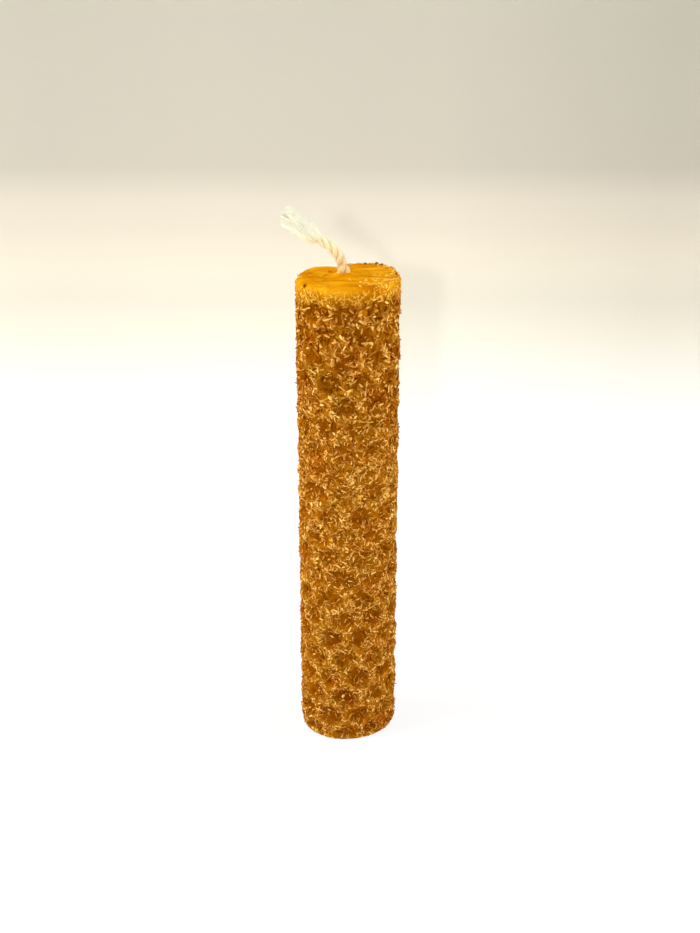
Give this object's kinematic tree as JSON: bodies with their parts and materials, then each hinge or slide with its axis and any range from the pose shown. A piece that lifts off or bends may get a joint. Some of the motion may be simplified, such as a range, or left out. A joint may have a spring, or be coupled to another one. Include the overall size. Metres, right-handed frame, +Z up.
{
  "type": "rolled honeycomb candle",
  "caption": "Slim upright candle rolled from embossed honeycomb wax round a twisted cotton wick that leans over, with a coat of chopped dried herbs.",
  "frame": {"origin": "where the wick's axis meets the plane that the candle stands on", "axes": "+Z up along the wick, -Y towards the picture's camera, -X the side that the wick leans to, +Y the side of the roll's seam"},
  "size_m": [0.0234, 0.0217, 0.1132],
  "materials": {
    "wax": "soft satin beeswax, amber",
    "cotton": "unbleached twisted cotton",
    "herb": "dry straw-coloured chips"
  },
  "bodies": {
    "root": {"wax_roll": "wax", "wick": "cotton", "herb_chips": "herb"}
  },
  "joints": []
}
